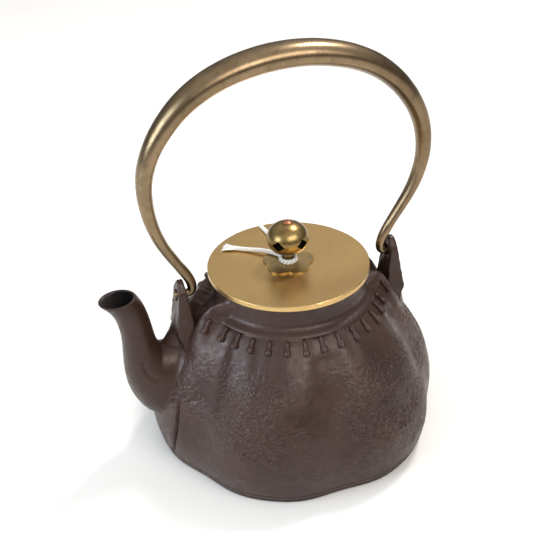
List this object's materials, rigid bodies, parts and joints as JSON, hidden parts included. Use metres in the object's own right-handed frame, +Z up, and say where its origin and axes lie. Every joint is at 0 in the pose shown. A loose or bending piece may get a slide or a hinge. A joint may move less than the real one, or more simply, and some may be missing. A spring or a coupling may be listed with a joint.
{
  "type": "cast iron tetsubin kettle",
  "caption": "Cast iron kettle shaped like a drawn pouch, with a curved spout, a flat brass lid with a pierced ball knob, and a tall hollow bronze swing handle.",
  "frame": {"origin": "centre of the flat base, on the kettle's vertical axis", "axes": "+Z up, the spout points towards -X, the handle's arch lies in the XZ plane"},
  "size_m": [0.2016, 0.17, 0.2432],
  "materials": {
    "cast_iron": "brown lacquered and heat-aged cast iron, fine wrinkled skin on the lobes",
    "lid_brass": "satin brass, evenly brushed and slightly aged",
    "knob_brass": "polished brass darkened in its recesses",
    "handle_bronze": "aged grey-gold bronze, worn brighter along its edges",
    "copper": "dull copper rivet, peened",
    "cotton": "soft white twisted cotton string"
  },
  "bodies": {
    "kettle": {"kettle_body": "cast_iron", "base_plate": "cast_iron", "spout": "cast_iron", "spout_side_lug": "cast_iron", "rear_lug": "cast_iron"},
    "lid": {"lid_plate": "lid_brass", "lid_collar": "lid_brass", "rivet_washer": "lid_brass", "knob_rivet": "copper", "flower_washer": "knob_brass", "knob_sleeve": "knob_brass", "tie_string_loop": "cotton", "tie_string_front_tail": "cotton", "tie_string_back_tail": "cotton"},
    "knob": {"knob_lower_shell": "knob_brass", "knob_upper_shell": "knob_brass"},
    "handle": {"handle_tube": "handle_bronze", "spout_side_hook": "handle_bronze", "rear_hook": "handle_bronze"}
  },
  "joints": [
    {"name": "handle_swing", "type": "hinge", "parent": "kettle", "child": "handle", "pos_m": [0, 0, 0.104], "axis": [1, 0, 0], "range_deg": [-110, 110]},
    {"name": "lid_lift", "type": "slide", "parent": "kettle", "child": "lid", "axis": [0, 0, 1], "range_m": [0, 0.06]},
    {"name": "knob_spin", "type": "hinge", "parent": "lid", "child": "knob", "pos_m": [0, 0, 0.1265], "axis": [0, 0, 1], "continuous": true}
  ]
}
